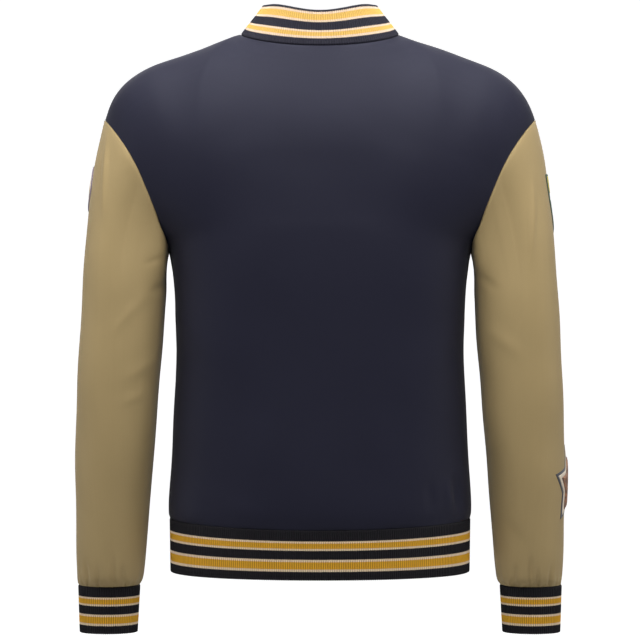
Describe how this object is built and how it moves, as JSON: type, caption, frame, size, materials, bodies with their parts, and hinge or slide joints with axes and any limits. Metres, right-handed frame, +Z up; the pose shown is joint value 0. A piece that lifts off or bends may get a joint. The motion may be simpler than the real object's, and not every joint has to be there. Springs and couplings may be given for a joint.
{
  "type": "varsity jacket",
  "caption": "Snap-front varsity jacket in worn, hollow form: navy satin body, tan sleeves, striped rib collar, cuffs and waistband, badges on both sleeves.",
  "frame": {"origin": "midway between the two side neck points, where the wearer's shoulders hold the jacket", "axes": "+Z up, -Y the way the wearer faces, +X to the wearer's left"},
  "size_m": [0.6285, 0.2682, 0.7988],
  "materials": {
    "satin": "smooth woven, soft satin sheen, dark navy",
    "tan": "smooth woven, soft sheen, tan",
    "rib": "rib knit, navy with gold and cream stripes",
    "snap": "enamelled snap cap, dark navy",
    "navy_felt": "wool felt, dark navy",
    "cream_felt": "wool felt, cream",
    "rust_chenille": "chenille pile, rust brown",
    "green_edge": "merrowed edge on twill, dark green",
    "yellow_thread": "embroidery, yellow",
    "pale_thread": "embroidery, pale aqua",
    "mauve_edge": "merrowed edge on twill, mauve grey"
  },
  "bodies": {
    "root": {"back": "satin", "front_left": "satin", "front_right": "satin", "sleeve_left": "tan", "sleeve_right": "tan", "cuff_left": "rib", "cuff_right": "rib", "waistband": "rib", "collar": "rib", "snap_1": "snap", "snap_2": "snap", "snap_3": "snap", "snap_4": "snap", "snap_5": "snap", "snap_6": "snap", "snap_7": "snap", "star_base": "navy_felt", "star_border": "cream_felt", "star_chenille": "rust_chenille", "shield_base": "green_edge", "shield_chief": "yellow_thread", "shield_field": "pale_thread", "roundel_base": "mauve_edge", "roundel_field": "cream_felt"}
  },
  "joints": []
}
